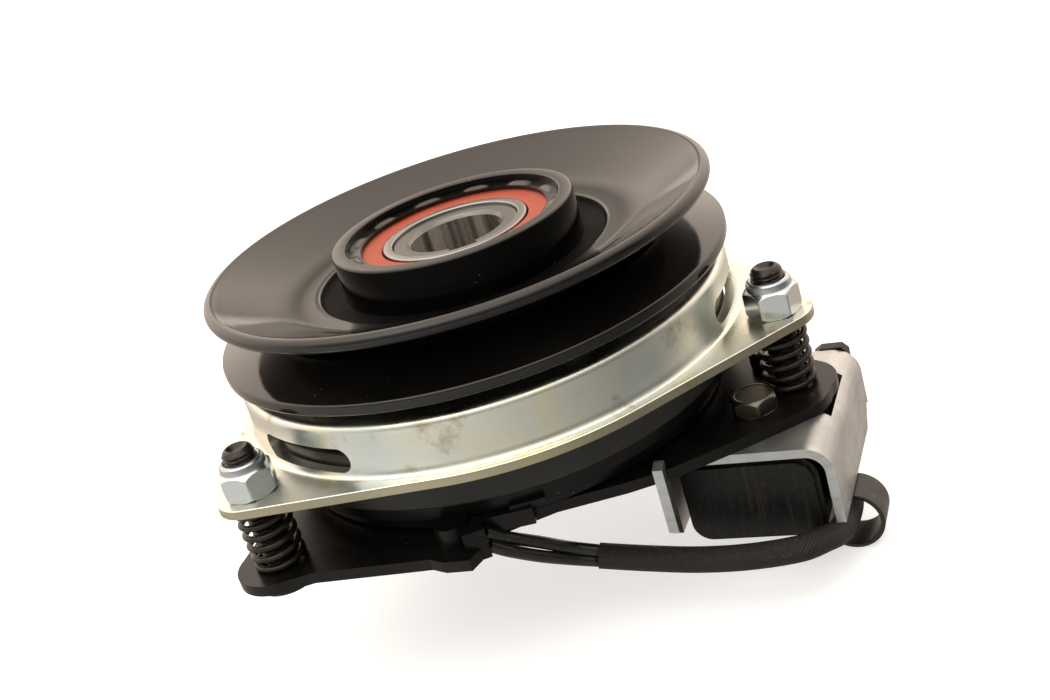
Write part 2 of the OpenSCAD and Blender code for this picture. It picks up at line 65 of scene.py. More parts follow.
scene = bpy.context.scene


# ---- camera ----------------------------------------------------------------------------
def make_camera():
    data = bpy.data.cameras.new("main_camera")
    data.lens = 48.47
    data.sensor_width = 36
    data.clip_start = 0.01
    cam = bpy.data.objects.new("main_camera", data)
    scene.collection.objects.link(cam)
    # its axes, and its place in metres
    right = Vector((0.94418, -0.18087, -0.27532))
    up = Vector((0.32343, 0.35045, 0.87896))
    back = Vector((-0.06250, -0.91895, 0.38939))
    m = Matrix((right, up, back)).transposed().to_4x4()
    m.translation = Vector((-0.01636, -0.36295, 0.17263))
    cam.matrix_world = m
    scene.camera = cam


make_camera()


# ---- materials -----------------------------------------------------------------------
class Mat:
    """A principled material with a few helpers for procedural textures."""

    def __init__(self, name, base, rough, metal=0.0, spec=0.5):
        self.mat = bpy.data.materials.new(name)
        self.mat.use_nodes = True
        self.nt = self.mat.node_tree
        self.bsdf = self.nt.nodes["Principled BSDF"]
        b = self.bsdf.inputs
        b["Base Color"].default_value = (*base, 1)
        b["Roughness"].default_value = rough
        b["Metallic"].default_value = metal
        b["Specular IOR Level"].default_value = spec
        self.mat.diffuse_color = (*base, 1)
        self.last = (*base, 1)
        self.tc = self.nt.nodes.new("ShaderNodeTexCoord")
        self.normal = None

    def at(self, stretch):
        """Object coordinates scaled along X, Y and Z, for grain that runs one way."""
        m = self.nt.nodes.new("ShaderNodeMapping")
        m.inputs["Scale"].default_value = stretch
        self.nt.links.new(self.tc.outputs["Object"], m.inputs["Vector"])
        return m.outputs["Vector"]

    def polar(self, k_angle, k_radius, k_z):
        """Vector (angle, radius, height) about the shaft axis, for turned and brushed marks."""
        s = self.nt.nodes.new("ShaderNodeSeparateXYZ")
        self.nt.links.new(self.tc.outputs["Object"], s.inputs[0])
        ang = self.math("ARCTAN2", s.outputs[1], s.outputs[0])
        xx = self.math("MULTIPLY", s.outputs[0], s.outputs[0])
        yy = self.math("MULTIPLY", s.outputs[1], s.outputs[1])
        rad = self.math("SQRT", self.math("ADD", xx, yy))
        c = self.nt.nodes.new("ShaderNodeCombineXYZ")
        self.nt.links.new(self.math("MULTIPLY", ang, k_angle), c.inputs[0])
        self.nt.links.new(self.math("MULTIPLY", rad, k_radius), c.inputs[1])
        self.nt.links.new(self.math("MULTIPLY", s.outputs[2], k_z), c.inputs[2])
        return c.outputs[0]

    def math(self, op, a, b=None):
        n = self.nt.nodes.new("ShaderNodeMath")
        n.operation = op
        for i, v in enumerate((a, b)):
            if v is None:
                continue
            if hasattr(v, "is_output"):
                self.nt.links.new(v, n.inputs[i])
            else:
                n.inputs[i].default_value = v
        return n.outputs[0]

    def noise(self, scale, detail=3.0, rough=0.55, vec=None, dist=0.0):
        n = self.nt.nodes.new("ShaderNodeTexNoise")
        n.inputs["Scale"].default_value = scale
        n.inputs["Detail"].default_value = detail
        n.inputs["Roughness"].default_value = rough
        n.inputs["Distortion"].default_value = dist
        self.nt.links.new(vec or self.tc.outputs["Object"], n.inputs["Vector"])
        return n.outputs["Fac"]

    def cells(self, scale):
        n = self.nt.nodes.new("ShaderNodeTexVoronoi")
        n.inputs["Scale"].default_value = scale
        self.nt.links.new(self.tc.outputs["Object"], n.inputs["Vector"])
        return n.outputs["Distance"]

    def wave(self, scale, vec, direction):
        n = self.nt.nodes.new("ShaderNodeTexWave")
        n.bands_direction = direction
        n.inputs["Scale"].default_value = scale
        n.inputs["Detail"].default_value = 0.0
        self.nt.links.new(vec, n.inputs["Vector"])
        return n.outputs["Fac"]

    def band(self, fac, lo, hi, a=0.0, b=1.0):
        n = self.nt.nodes.new("ShaderNodeMapRange")
        n.inputs["From Min"].default_value = lo
        n.inputs["From Max"].default_value = hi
        n.inputs["To Min"].default_value = a
        n.inputs["To Max"].default_value = b
        self.nt.links.new(fac, n.inputs["Value"])
        return n.outputs["Result"]

    def color(self, fac, other):
        """Mix another colour into the base colour where fac is high."""
        n = self.nt.nodes.new("ShaderNodeMix")
        n.data_type = "RGBA"
        self.nt.links.new(fac, n.inputs[0])
        if hasattr(self.last, "is_output"):
            self.nt.links.new(self.last, n.inputs[6])
        else:
            n.inputs[6].default_value = self.last
        n.inputs[7].default_value = (*other, 1)
        self.last = n.outputs[2]
        self.nt.links.new(self.last, self.bsdf.inputs["Base Color"])
        return self

    def rough(self, fac, lo, hi):
        self.nt.links.new(self.band(fac, 0.3, 0.7, lo, hi), self.bsdf.inputs["Roughness"])
        return self

    def bump(self, height, strength, dist):
        n = self.nt.nodes.new("ShaderNodeBump")
        n.inputs["Strength"].default_value = strength
        n.inputs["Distance"].default_value = dist
        self.nt.links.new(height, n.inputs["Height"])
        if self.normal is not None:
            self.nt.links.new(self.normal, n.inputs["Normal"])
        self.normal = n.outputs["Normal"]
        self.nt.links.new(self.normal, self.bsdf.inputs["Normal"])
        return self


def black_paint(name, base, rough, spec, dust=0.5):
    """Black coating with soft mottling, a few pale dust flecks and an orange-peel surface."""
    m = Mat(name, base, rough, 0.0, spec)
    big = m.noise(35, 4)
    m.color(m.band(big, 0.4, 0.75, 0.0, 0.5), tuple(3 * c for c in base))
    near = m.math("LESS_THAN", m.cells(420), 0.10 * dust)
    where = m.band(m.noise(60, 2), 0.5, 0.62)
    m.color(m.math("MULTIPLY", m.math("MULTIPLY", near, where), 0.7), (0.22, 0.20, 0.17))
    m.rough(m.noise(90, 4), rough - 0.03, rough + 0.05)
    m.bump(m.noise(1300, 2), 0.05, 0.0002)
    m.bump(m.noise(160, 2), 0.04, 0.0004)
    return m


M = {}
M["paint"] = black_paint("pulley_paint", (0.0026, 0.0023, 0.002), 0.08, 0.48)
M["housing"] = black_paint("housing_paint", (0.003, 0.0028, 0.0025), 0.2, 0.42, 0.8)
# painted shade: a darker, less glossy copy of the housing paint for the housing's outer wall, and a
# matt near-black copy for the pocket at its foot
M["wall"] = black_paint("housing_wall_painted_shade", (0.0012, 0.0011, 0.001), 0.16, 0.22, 0.8)
M["pocket"] = black_paint("pocket_painted_shade", (0.001, 0.001, 0.001), 0.6, 0.06, 0.4)
# magnet side: mounting plate, coil housing and rotor
M["field"] = black_paint("field_coating", (0.0026, 0.0023, 0.002), 0.27, 0.22)
M["rotor"] = black_paint("rotor_coating", (0.010, 0.0095, 0.009), 0.36, 0.3)

# red-brown rubber seal, with fine moulded rings
m = M["seal"] = Mat("seal_rubber", (0.30, 0.040, 0.014), 0.5, 0.0, 0.4)
m.color(m.band(m.noise(120, 3), 0.45, 0.7, 0, 0.35), (0.36, 0.07, 0.03))
m.color(m.band(m.noise(900, 2), 0.62, 0.72, 0, 0.3), (0.4, 0.18, 0.12))
m.bump(m.noise(1, 2, vec=m.polar(3, 900, 900)), 0.15, 0.0003)

# ground bearing race
m = M["ring"] = Mat("bearing_steel", (0.32, 0.315, 0.31), 0.2, 1.0)
turned = m.noise(1, 3, vec=m.polar(2, 2600, 900))
m.color(m.band(turned, 0.4, 0.7, 0, 0.4), (0.22, 0.215, 0.21))
m.rough(turned, 0.14, 0.3)
m.bump(turned, 0.06, 0.0001)

# turned and phosphated hub
m = M["hub"] = Mat("hub_steel", (0.175, 0.172, 0.168), 0.36, 1.0)
turned = m.noise(1, 4, vec=m.polar(3, 1500, 60))
m.color(m.band(turned, 0.35, 0.7, 0, 0.5), (0.105, 0.098, 0.09))
m.rough(turned, 0.28, 0.46)
m.bump(turned, 0.12, 0.0002)
m.bump(m.noise(1800, 3), 0.1, 0.0001)

# lapped bore, with broad light and dark streaks down it, painted reflections of the surroundings
m = M["bore"] = Mat("bore_polish_painted_reflections", (0.86, 0.82, 0.76), 0.2, 0.86)
lap = m.noise(1, 3, vec=m.polar(30, 40, 500))
painted_reflection_streaks = m.noise(1, 2, vec=m.polar(2.6, 0, 3))
# painted reflection: light and dark streaks mixed into the base colour
m.color(m.band(painted_reflection_streaks, 0.44, 0.56, 0, 0.85), (0.10, 0.09, 0.08))
m.color(m.band(lap, 0.4, 0.7, 0, 0.4), (0.42, 0.38, 0.34))
m.rough(lap, 0.14, 0.28)
m.bump(lap, 0.04, 0.0001)

# bearing cage, inside
m = M["cage"] = Mat("cage_brass", (0.50, 0.34, 0.13), 0.35, 1.0)
m.rough(m.noise(500, 3), 0.28, 0.45)
m.color(m.band(m.noise(300, 3), 0.4, 0.7, 0, 0.4), (0.3, 0.2, 0.09))

# plain turned steel, inside
m = M["steel"] = Mat("plain_steel", (0.30, 0.29, 0.275), 0.34, 1.0)
turned = m.noise(1, 3, vec=m.polar(3, 1400, 600))
m.color(m.band(turned, 0.4, 0.7, 0, 0.5), (0.16, 0.15, 0.14))
m.rough(turned, 0.26, 0.45)

# pressed friction lining with brass-coloured flecks
m = M["lining"] = Mat("friction_lining", (0.06, 0.045, 0.035), 0.85)
m.color(m.band(m.noise(1500, 2), 0.55, 0.7, 0, 0.7), (0.22, 0.16, 0.10))
m.bump(m.noise(1500, 3), 0.4, 0.0003)


def zinc(name, base, cool, warm, stain, rough, amount=1.0, polar=True):
    """Zinc plate: cool and warm passivation clouds, brown stains and drawing or rolling lines."""
    m = Mat(name, base, rough, 1.0)
    m.color(m.band(m.noise(28, 3), 0.42, 0.66, 0, 0.8 * amount), cool)
    m.color(m.band(m.noise(45, 4, dist=0.6), 0.48, 0.68, 0, 0.75 * amount), warm)
    m.color(m.band(m.noise(75, 5, 0.65), 0.59, 0.69, 0, 0.8 * amount), stain)
    grain = m.polar(5, 900, 1500) if polar else m.at((260, 260, 2200))
    lines = m.noise(1, 4, 0.6, vec=grain)
    m.color(m.band(lines, 0.56, 0.74, 0, 0.22), tuple(0.62 * c for c in base))
    m.rough(m.noise(60, 4), rough - 0.07, rough + 0.10)
    m.bump(lines, 0.05, 0.0002)
    m.bump(m.noise(240, 3), 0.035, 0.0006)
    return m


M["brake"] = zinc("zinc_passivated", (0.70, 0.70, 0.62), (0.60, 0.655, 0.655), (0.74, 0.70, 0.50),
                  (0.42, 0.33, 0.24), 0.30)
M["edge"] = zinc("zinc_sheared_edge", (0.44, 0.405, 0.29), (0.36, 0.35, 0.26), (0.5, 0.44, 0.27),
                 (0.32, 0.26, 0.17), 0.36, 0.8)
M["nut"] = zinc("zinc_bright", (0.60, 0.635, 0.655), (0.52, 0.58, 0.62), (0.66, 0.66, 0.60),
                (0.30, 0.29, 0.27), 0.24, 0.7, False)
M["collar"] = zinc("zinc_collar", (0.46, 0.50, 0.53), (0.4, 0.46, 0.5), (0.5, 0.5, 0.46),
                   (0.2, 0.2, 0.2), 0.3, 0.6, False)
M["bolt"] = zinc("bolt_dark_zinc", (0.13, 0.12, 0.10), (0.09, 0.092, 0.088), (0.18, 0.155, 0.11),
                 (0.06, 0.05, 0.045), 0.30, 1.0, False)

# the bracket: dull grey zinc with fine scratches
m = M["bracket"] = Mat("zinc_grey", (0.47, 0.485, 0.485), 0.34, 0.95, 0.5)
m.color(m.band(m.noise(55, 4), 0.42, 0.66, 0, 0.6), (0.33, 0.345, 0.35))
m.color(m.band(m.noise(140, 5, 0.7), 0.58, 0.7, 0, 0.5), (0.66, 0.65, 0.61))
rolled = m.noise(1, 4, 0.65, vec=m.at((60, 60, 420)))
m.color(m.band(rolled, 0.5, 0.7, 0, 0.6), (0.30, 0.30, 0.295))
scr = m.noise(1, 2, vec=m.at((2600, 90, 700)))
m.color(m.band(scr, 0.66, 0.72, 0, 0.5), (0.24, 0.235, 0.22))
m.rough(m.noise(120, 4), 0.26, 0.46)
m.bump(scr, 0.06, 0.0002)
m.bump(m.noise(500, 3), 0.06, 0.0002)

# blackened and oiled steel: studs, brake springs
m = M["oiled"] = Mat("black_oxide", (0.020, 0.0165, 0.0135), 0.30, 0.55, 0.5)
m.color(m.band(m.noise(380, 3), 0.5, 0.7, 0, 0.6), (0.055, 0.042, 0.030))
m.rough(m.noise(260, 3), 0.2, 0.42)
m.bump(m.noise(1500, 2), 0.1, 0.0002)

# moulded rubber block
m = M["block"] = Mat("block_rubber", (0.0035, 0.0031, 0.0028), 0.36, 0.0, 0.22)
m.color(m.band(m.noise(700, 4), 0.55, 0.7, 0, 0.5), (0.016, 0.0145, 0.0135))
streak = m.noise(1, 3, vec=m.at((900, 900, 30)))
m.color(m.band(streak, 0.56, 0.7, 0, 0.5), (0.022, 0.020, 0.0185))
m.rough(streak, 0.3, 0.55)
m.bump(streak, 0.25, 0.0004)
m.bump(m.noise(1600, 3), 0.12, 0.0002)

# glossy wire insulation
m = M["wire"] = Mat("wire_insulation", (0.008, 0.0075, 0.007), 0.2, 0.0, 0.5)
m.rough(m.noise(120, 3), 0.15, 0.3)
m.bump(m.noise(300, 2), 0.04, 0.0003)
m.color(m.band(m.noise(500, 3), 0.6, 0.75, 0, 0.5), (0.04, 0.036, 0.032))

# moulded cable clip
m = M["clip"] = Mat("clip_moulded", (0.010, 0.0088, 0.0078), 0.36, 0.0, 0.35)
m.color(m.band(m.noise(260, 4), 0.45, 0.7, 0, 0.5), (0.019, 0.017, 0.015))
m.rough(m.noise(200, 3), 0.28, 0.46)
m.bump(m.noise(1400, 2), 0.1, 0.0002)

# connector and bobbin plastic
m = M["plug"] = Mat("connector_moulded", (0.014, 0.0135, 0.0135), 0.45)
m.rough(m.noise(300, 3), 0.36, 0.56)
m.bump(m.noise(1800, 2), 0.12, 0.0002)
m.color(m.band(m.noise(150, 3), 0.5, 0.7, 0, 0.4), (0.03, 0.029, 0.028))

# coil winding, with its layers of wire
m = M["copper"] = Mat("enamelled_copper", (0.5, 0.19, 0.07), 0.3, 0.8)
m.bump(m.wave(1200, m.polar(0, 1, 1), "Z"), 0.4, 0.0004)
m.rough(m.noise(200, 2), 0.24, 0.4)

# tinned terminals
m = M["tin"] = Mat("tinned_terminal", (0.6, 0.58, 0.52), 0.3, 1.0)
m.rough(m.noise(400, 3), 0.22, 0.4)
m.color(m.band(m.noise(300, 3), 0.5, 0.7, 0, 0.4), (0.42, 0.40, 0.34))

# woven sleeve: two diagonal families of yarn over the tube's own coordinates
m = M["braid"] = Mat("braided_sleeve", (0.0055, 0.0046, 0.0038), 0.55, 0.0, 0.38)
uv = m.nt.nodes.new("ShaderNodeUVMap")
uv.uv_map = "tube"
yarns = []
for turn in (38, -38):
    n = m.nt.nodes.new("ShaderNodeMapping")
    n.inputs["Rotation"].default_value = (0, 0, math.radians(turn))
    m.nt.links.new(uv.outputs["UV"], n.inputs["Vector"])
    yarns.append(m.wave(470, n.outputs["Vector"], "Y"))
weave = m.math("MAXIMUM", yarns[0], yarns[1])
cross = m.math("MULTIPLY", yarns[0], yarns[1])
m.color(m.band(weave, 0.75, 1.0, 0, 0.5), (0.019, 0.0155, 0.0125))
m.color(m.band(m.noise(900, 3), 0.6, 0.74, 0, 0.6), (0.045, 0.037, 0.028))
m.bump(weave, 0.6, 0.0003)
m.bump(cross, 0.5, 0.0002)
m.bump(m.noise(3500, 2), 0.3, 0.0002)

SLOT_MAT = {
    "pulley_black": "paint", "bearing_steel": "ring", "seal_rubber": "seal", "cage_brass": "cage",
    "spring_steel": "steel", "armature_steel": "steel", "hub_steel": "hub", "rotor_grey": "rotor",
    "zinc_yellow": "brake", "lining": "lining", "zinc_bright": "nut", "oiled_black": "oiled",
    "field_black": "field", "bobbin_black": "plug", "copper": "copper", "zinc_grey": "bracket",
    "block_rubber": "block", "bolt_dark": "bolt", "wire_black": "wire", "braid": "braid",
    "clip_black": "clip", "connector_black": "plug", "terminal_tin": "tin",
}
NODE_SLOT = {s["node"]: s["material_slot"] for s in frame["record"]["subparts"]}
for name, obj in NODES.items():
    mat = M[SLOT_MAT[NODE_SLOT[name]]].mat
    obj.data.materials.clear()
    obj.data.materials.append(mat)


# ---- mesh helpers ---------------------------------------------------------------------
def piece(name, verts, faces, mats, body, replaces=(), sharp=32, uvs=None, pick=None):
    """A new mesh piece, verts in millimetres. pick(normal, centre) chooses a material index."""
    me = bpy.data.meshes.new(name)
    me.from_pydata([(x * MM, y * MM, z * MM) for x, y, z in verts], [], faces)
    bm = bmesh.new()
    bm.from_mesh(me)
    if uvs is not None:
        layer = bm.loops.layers.uv.new("tube")
        for f in bm.faces:
            for lp, q in zip(f.loops, uvs[f.index]):
                lp[layer].uv = q
    bmesh.ops.recalc_face_normals(bm, faces=bm.faces)
    mark_sharp(bm, sharp)
    if pick:
        for f in bm.faces:
            f.material_index = pick(f.normal, f.calc_center_median() / MM)
    bm.to_mesh(me)
    bm.free()
    return placed(name, me, mats, body, replaces)


def mark_sharp(bm, sharp):
    """Smooth faces, with a hard edge wherever two faces meet at more than `sharp` degrees."""
    for f in bm.faces:
        f.smooth = True
    for e in bm.edges:
        if len(e.link_faces) == 2 and e.calc_face_angle(0) > math.radians(sharp):
            e.smooth = False


def placed(name, me, mats, body, replaces=()):
    """Put a finished mesh in the scene: materials, body and the nodes it stands for."""
    for k in mats if isinstance(mats, (list, tuple)) else [mats]:
        me.materials.append(M[k].mat)
    o = bpy.data.objects.new(name, me)
    scene.collection.objects.link(o)
    if body:
        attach(o, body)
    if replaces:
        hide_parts(*replaces)
    return o


def fillet(pts, radii, n=4):
    """Round the corners of a closed (r, z) profile; radii is one number or one per point."""
    out, k = [], len(pts)
    for i in range(k):
        r = radii[i] if isinstance(radii, (list, tuple)) else radii
        a, b, c = Vector(pts[i - 1]), Vector(pts[i]), Vector(pts[(i + 1) % k])
        u, v = (a - b), (c - b)
        lu, lv = u.length, v.length
        if r <= 0 or lu < 1e-6 or lv < 1e-6:
            out.append(tuple(b))
            continue
        u, v = u / lu, v / lv
        ang = u.angle(v)
        if ang > math.radians(176):
            out.append(tuple(b))
            continue
        t = min(r / math.tan(ang / 2), 0.45 * lu, 0.45 * lv)
        for j in range(n + 1):
            s = j / n
            p = (b + u * t) * (1 - s) ** 2 + b * 2 * s * (1 - s) + (b + v * t) * s ** 2
            out.append((p.x, p.y))
    return out


def rings(rows, thetas, closed=True, centre=(0, 0)):
    """Generalised lathe: each row is (z, r) with r a number or a function of the angle."""
    verts, faces = [], []
    n, m = len(thetas), len(rows)
    for z, r in rows:
        for t in thetas:
            q = r(t) if callable(r) else r
            verts.append((centre[0] + q * math.cos(t), centre[1] + q * math.sin(t),
                          z(t) if callable(z) else z))
    for i in range(m if closed else m - 1):
        a, b = i * n, ((i + 1) % m) * n
        for k in range(n):
            l = (k + 1) % n
            faces.append((a + k, a + l, b + l, b + k))
    return verts, faces


def capped(rows, thetas, centre):
    """An open lathe with a flat face over its first and last rows."""
    v, f = rings(rows, thetas, closed=False, centre=centre)
    n, top = len(thetas), (len(rows) - 1) * len(thetas)
    f.append(tuple(range(n - 1, -1, -1)))
    f.append(tuple(top + k for k in range(n)))
    return v, f


def full(n, start=0.0):
    """n angles round a full turn."""
    return [start + 2 * math.pi * k / n for k in range(n)]


def polar_xy(radius, degrees):
    a = math.radians(degrees)
    return radius * math.cos(a), radius * math.sin(a)


def arc(cx, cy, r, a0, a1, n):
    """Points on an arc from a0 to a1 degrees, as (r, z)."""
    out = []
    for i in range(n + 1):
        x, y = polar_xy(r, a0 + (a1 - a0) * i / n)
        out.append((cx + x, cy + y))
    return out


def lathe(name, profile, mats, body, replaces=(), seg=200, sharp=32, pick=None):
    rows = [(z, r) for r, z in profile]
    v, f = rings(rows, full(seg))
    return piece(name, v, f, mats, body, replaces, sharp, pick=pick)


def tube(path, radius, sides):
    """Mesh tube along a path in mm with flat end caps; returns verts, faces, uvs in metres."""
    pts = [Vector(p) for p in path]
    m = len(pts)
    tang = [(pts[min(i + 1, m - 1)] - pts[max(i - 1, 0)]).normalized() for i in range(m)]
    ref = Vector((-0.25, 0.35, 1)).normalized()
    side = tang[0].cross(ref).normalized()
    verts, faces, uvs, run = [], [], [], 0.0
    dist = [0.0]
    for i in range(1, m):
        dist.append(dist[-1] + (pts[i] - pts[i - 1]).length)
    for i in range(m):
        side = (side - tang[i] * side.dot(tang[i])).normalized()
        up = side.cross(tang[i])
        for k in range(sides):
            a = 2 * math.pi * k / sides
            verts.append(tuple(pts[i] + radius * (math.cos(a) * side + math.sin(a) * up)))
    w = 2 * math.pi * radius * MM
    for i in range(m - 1):
        for k in range(sides):
            l = (k + 1) % sides
            faces.append((i * sides + k, (i + 1) * sides + k, (i + 1) * sides + l, i * sides + l))
            u0, u1 = w * k / sides, w * (k + 1) / sides
            v0, v1 = dist[i] * MM, dist[i + 1] * MM
            uvs.append(((u0, v0), (u0, v1), (u1, v1), (u1, v0)))
    for base, rev in ((0, False), ((m - 1) * sides, True)):
        idx = [base + k for k in range(sides)]
        faces.append(tuple(idx[::-1] if rev else idx))
        uvs.append(tuple((0.0, 0.0) for _ in idx))
    return verts, faces, uvs


def catmull(pts, steps):
    """A smooth curve through given points."""
    out, n = [], len(pts)
    for i in range(n - 1):
        a, b = Vector(pts[max(i - 1, 0)]), Vector(pts[i])
        c, d = Vector(pts[i + 1]), Vector(pts[min(i + 2, n - 1)])
        for j in range(steps):
            t = j / steps
            out.append(0.5 * (2 * b + (c - a) * t + (2 * a - 5 * b + 4 * c - d) * t * t
                              + (3 * b - a - 3 * c + d) * t ** 3))
    out.append(Vector(pts[-1]))
    return [tuple(p) for p in out]


def soften(node, width, mats, seg=2, sharp=25):
    """A copy of a CAD node with its hard edges rounded, standing for that node."""
    src = NODES[node]
    bm = bmesh.new()
    bm.from_mesh(src.data)
    bmesh.ops.remove_doubles(bm, verts=bm.verts, dist=2e-6)
    bmesh.ops.dissolve_limit(bm, angle_limit=math.radians(0.4), verts=bm.verts, edges=bm.edges)
    edges = [e for e in bm.edges if len(e.link_faces) == 2
             and e.calc_face_angle(0) > math.radians(sharp)]
    if edges:
        bmesh.ops.bevel(bm, geom=edges, offset=width * MM, offset_type="OFFSET", segments=seg,
                        profile=0.6, affect="EDGES", clamp_overlap=True, loop_slide=True)
    for f in bm.faces:
        f.smooth = True
        f.material_index = 0
    me = bpy.data.meshes.new(node + "_soft")
    bm.to_mesh(me)
    bm.free()
    o = placed(node + "_soft", me, mats, src["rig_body"], (node,))
    wn = o.modifiers.new("weighted", "WEIGHTED_NORMAL")
    wn.keep_sharp = True
    wn.weight = 80
    return o


# ---- the lead, built before the other pieces ------------------------------------------
WIRE_R, TAIL_R, SLEEVE_R = 1.6, 1.55, 3.3
LEAD_A = [(-18.4, -65.3, 5), (-14.4, -63.8, 1.2), (-6.4, -59.5, -6), (0.5, -55.7, -12.5),
          (7, -56, -15.9)]
LEAD_B = [(-18.4, -66.3, 1.8), (-14.2, -65.4, -2), (-7.5, -60.7, -9), (-0.4, -56.2, -15.4),
          (7, -56, -19.1)]
SLEEVE = [(7, -56, -17.5), (18.7, -60.4, -20.5), (30.2, -65.5, -22.5), (41.4, -71.3, -22.7),
          (52.8, -75, -22.8), (60.2, -72.6, -24.2), (65.2, -68.3, -26.5), (69.2, -62.6, -28),
          (74.1, -53.7, -28.8), (77, -42, -30.8), (76.5, -28, -33.4), (72, -12, -34.9),
          (66, 3, -35.2), (59, 17, -35.2), (51, 29, -35.2), (42, 38, -35.2)]
TAIL_A = [(40.8, 36.8, -35.2), (37.5, 39.6, -34.4), (34.5, 40.9, -31.8), (30.5, 41.4, -30.3)]
TAIL_B = [(43.2, 39.2, -35.2), (39.8, 43.6, -34.4), (36.2, 47, -31.8), (31.5, 48.5, -30.3)]


def make_lead():
    for key, pts in (("tail_wire_a", TAIL_A), ("tail_wire_b", TAIL_B)):
        v, f, _ = tube(catmull(pts, 6), TAIL_R, 16)
        piece(key + "_skin", v, f, "wire", "field", (key,))
    path = catmull(SLEEVE, 10)
    v, f, uv = tube(path, SLEEVE_R, 40)
    s = piece("lead_sleeve_skin", v, f, "braid", "field", ("lead_sleeve",), uvs=uv)
    plug = [soften("connector", 0.5, "plug"), soften("connector_lock", 0.3, "plug"),
            NODES["connector_terminals"]]
    for key, pts in (("lead_wire_a", LEAD_A), ("lead_wire_b", LEAD_B)):
        path = catmull(pts, 10)
        v, f, _ = tube(path, WIRE_R, 20)
        w = piece(key + "_skin", v, f, "wire", "field", (key,))


make_lead()


# ---- pulley, its bearing and the hub ----------------------------------------------------
BOSS_R, WEB_Z, WEB_T, GROOVE_R = 33.5, 51.8, 2.7, 56.0
RIM_R, RIM_Z, BEAD_R = 69.8, 59.6, 1.9
LOW_R, LOW_Z = 70.4, 44.7
POCKET_R, POCKET_T = 40.2, 1.9
BOSS_Z, BOSS_BORE_R = 62.4, 29.7
BEARING_Z, BEARING_W, BEARING_OD, BEARING_ID = 39.2, 20, 55.0, 35.0
HUB_Z, SHAFT_R, KEY_R, KEY_HALF_W, FLANGE_R = 58.4, 12.7, 15.4, 3.175, 21.0


def make_pulley():
    # under the dish and down the groove's upper wall
    prof = [(BOSS_R, WEB_Z - WEB_T), (GROOVE_R - 4, WEB_Z - WEB_T), (GROOVE_R - 1.2, WEB_Z + 0.2),
            (GROOVE_R - 0.3, WEB_Z + 0.9), (GROOVE_R + 0.6, WEB_Z + 1.4), (62, 55.0),
            (66.6, RIM_Z - 2.35)]
    prof += arc(RIM_R - BEAD_R, RIM_Z, BEAD_R, -78, 128, 22)
    # the dish: a cone with a broad radius at its foot
    prof += [(65.6, RIM_Z + 0.95), (63.5, RIM_Z - 0.1), (61, RIM_Z - 1.3), (58, RIM_Z - 2.65),
             (55, RIM_Z - 4.0), (52, RIM_Z - 5.3), (49.5, RIM_Z - 6.3), (47, RIM_Z - 7.1),
             (44.5, WEB_Z + 0.2), (42, WEB_Z)]
    # the pocket round the bearing housing
    prof += [(40.9, WEB_Z - 0.08), (40.3, WEB_Z - 0.35), (39.9, WEB_Z - 0.8), (39.6, WEB_Z - 1.4),
             (39.1, WEB_Z - 1.8), (38.4, WEB_Z - POCKET_T), (BOSS_R, WEB_Z - POCKET_T)]

    # faces in the pocket take the near-black matt pocket material, a painted shade for the shadowed
    # groove
    def in_pocket(n, c):
        return 1 if c.xy.length < POCKET_R and WEB_Z - 2 < c.z < WEB_Z else 0

    lathe("pulley_upper_half", prof, ["paint", "pocket"], "pulley",
          ("sheave_upper",), 288, 40, pick=in_pocket)
    low = [(BOSS_R, WEB_Z - WEB_T), (BOSS_R, WEB_Z - 2 * WEB_T),
           (GROOVE_R - 1.5, WEB_Z - 2 * WEB_T), (68.8, LOW_Z - 3), (LOW_R, LOW_Z - 2.7),
           (LOW_R, LOW_Z + 0.1), (GROOVE_R, WEB_Z - 2.6), (GROOVE_R - 4, WEB_Z - WEB_T)]
    low = fillet(low, [0, 0, 4, 0.8, 0.9, 0.9, 1.5, 0], 5)
    lathe("pulley_lower_half", low, "paint", "pulley", ("sheave_lower",), 288, 40)


def make_housing():
    seat_r, lip_r, lip_z = BEARING_OD / 2, 24.6, BEARING_Z - 1.6
    ring_z = BEARING_Z + BEARING_W + 0.2
    prof = [(seat_r, BEARING_Z), (lip_r, BEARING_Z), (lip_r, lip_z), (BOSS_R, lip_z),
            (BOSS_R, BOSS_Z), (BOSS_BORE_R, BOSS_Z), (BOSS_BORE_R, ring_z), (seat_r, ring_z)]
    # upright faces of the housing take the darker wall material, a painted shade
    lathe("bearing_housing_body", fillet(prof, [0, 0, 0.3, 1.2, 0.85, 0.6, 0, 0], 5),
          ["housing", "wall"], "pulley", ("bearing_housing",), 240, 40,
          pick=lambda n, c: 1 if abs(n.z) < 0.3 else 0)
    # staked retainer: a flat ring with twelve upset lumps against the housing wall
    inner_r, outer_r, flat_z, lump_h = 26.1, 29.65, ring_z + 0.75, 0.6

    def lump(t, r):
        s = 0.0
        for i in range(12):
            d = (t - math.radians(30 * i + 8) + math.pi) % (2 * math.pi) - math.pi
            w = math.radians(9.5 + 2.2 * math.sin(3.1 * i))
            s = max(s, max(0.0, 1 - abs(d / w) ** 3.0))
        out = max(0.0, min(1.0, (r - 26.6) / 1.6))
        return lump_h * s * out

    rows = [(ring_z, outer_r), (ring_z, inner_r)]
    for r in (inner_r, 26.6, 27.2, 27.8, 28.4, 29.0, 29.6):
        rows.append(((lambda t, r=r: flat_z + lump(t, r)), r))
    rows.append(((lambda t: flat_z + lump(t, 29.6)), outer_r))
    v, f = rings(rows, full(360))
    piece("bearing_retainer_ring", v, f, "housing", "pulley",
          ("bearing_retainer",), 38)


